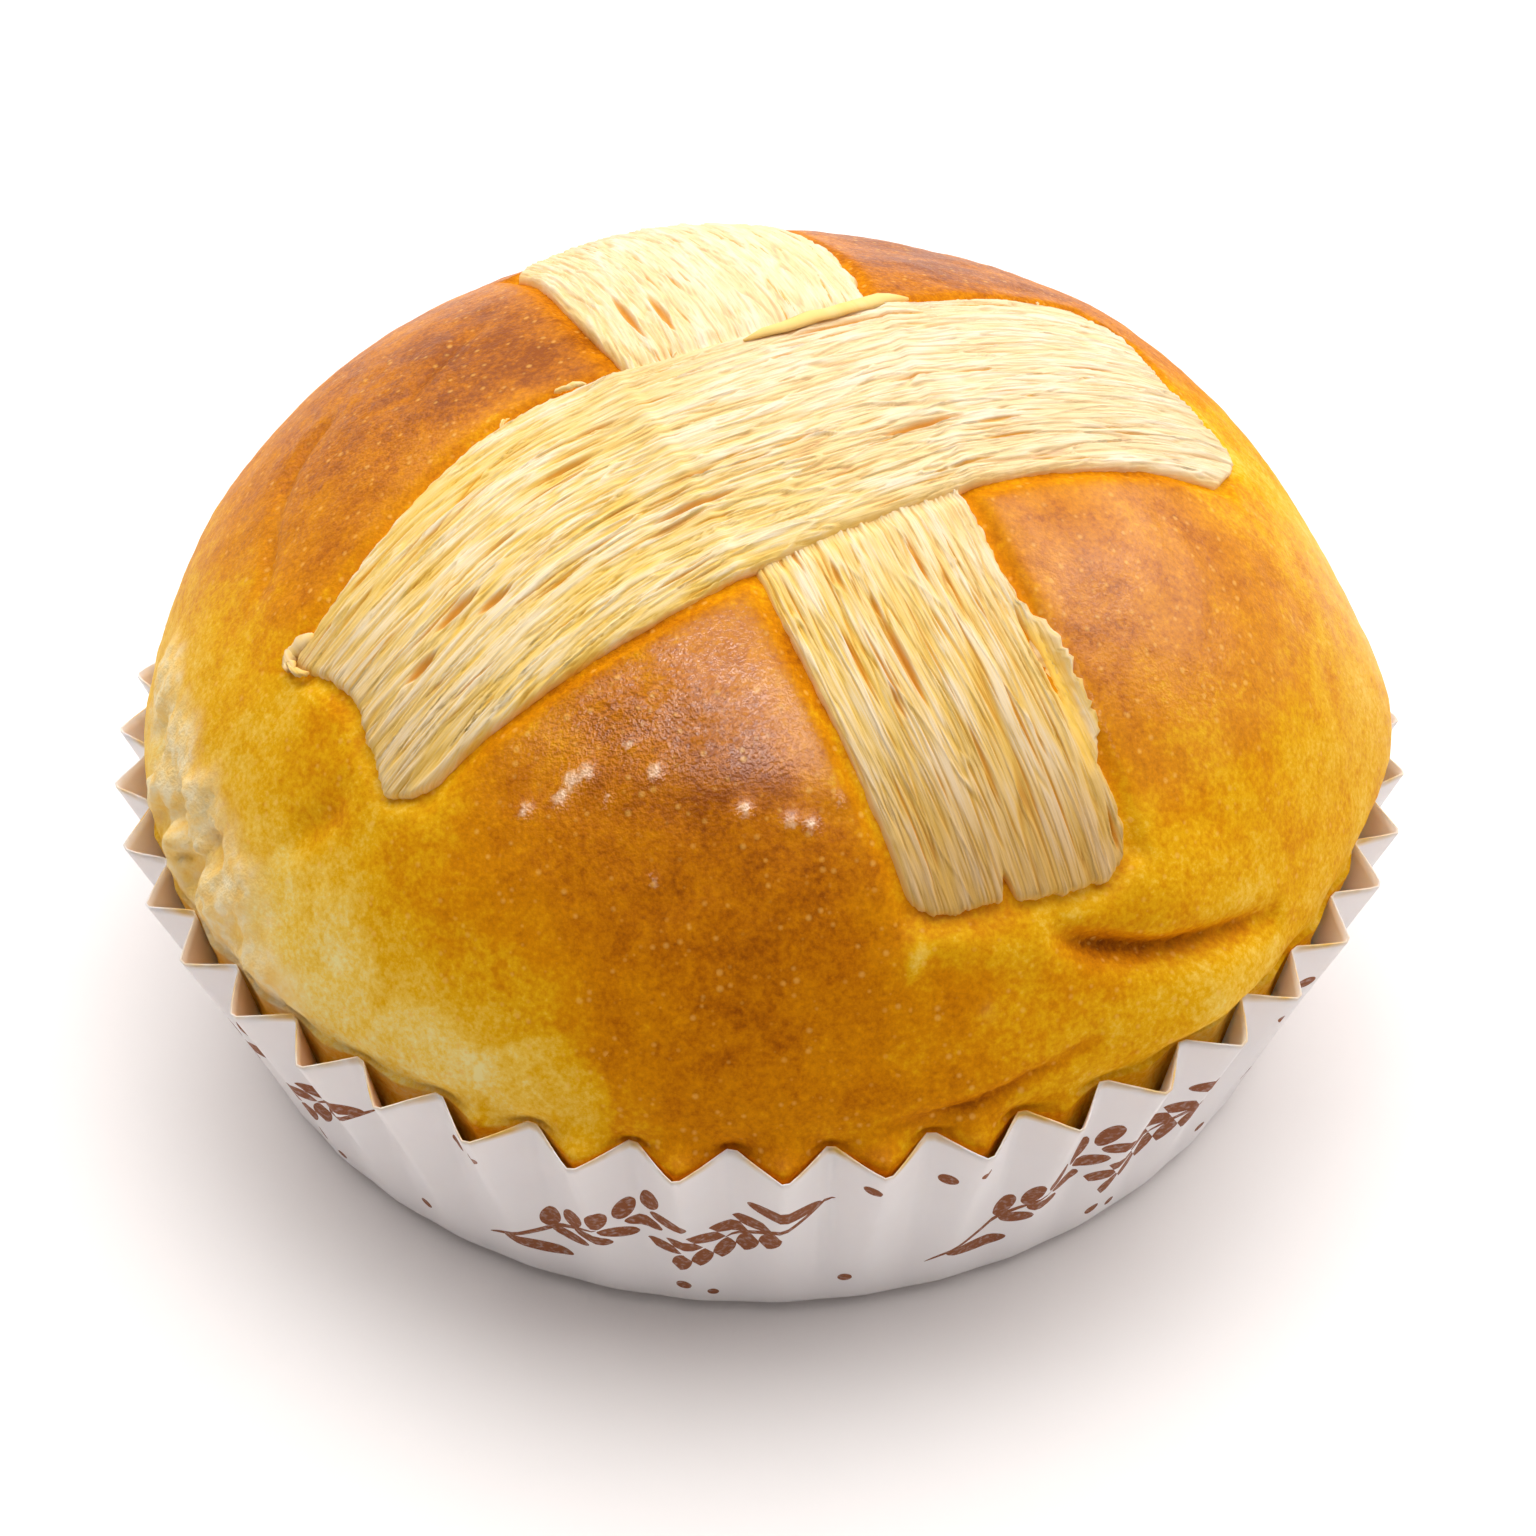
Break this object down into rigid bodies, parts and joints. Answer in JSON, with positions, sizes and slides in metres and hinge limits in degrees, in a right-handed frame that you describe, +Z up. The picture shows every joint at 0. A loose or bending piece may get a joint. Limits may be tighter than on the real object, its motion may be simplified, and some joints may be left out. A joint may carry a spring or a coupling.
{
  "type": "cream bun",
  "caption": "Round domed sweet bun with a glossy browned crust and two crossed strips of shredded pastry, sitting in a pleated paper case.",
  "frame": {"origin": "middle of the paper case's flat foot, on the surface that the bun stands on", "axes": "+Z up; the side that faces the viewer in the picture is towards -Y, with +X to its right"},
  "size_m": [0.1118, 0.112, 0.0627],
  "materials": {
    "crust": "egg-washed, browned on top and paler towards the rim, soft gloss",
    "strip": "matt cream fibres lying along the strip, yellower in the grooves",
    "paper": "white greaseproof paper, pleated, printed in brown outside and beige inside"
  },
  "bodies": {
    "root": {"bun": "crust", "strip_under": "strip", "strip_over": "strip", "paper_case": "paper"}
  },
  "joints": []
}
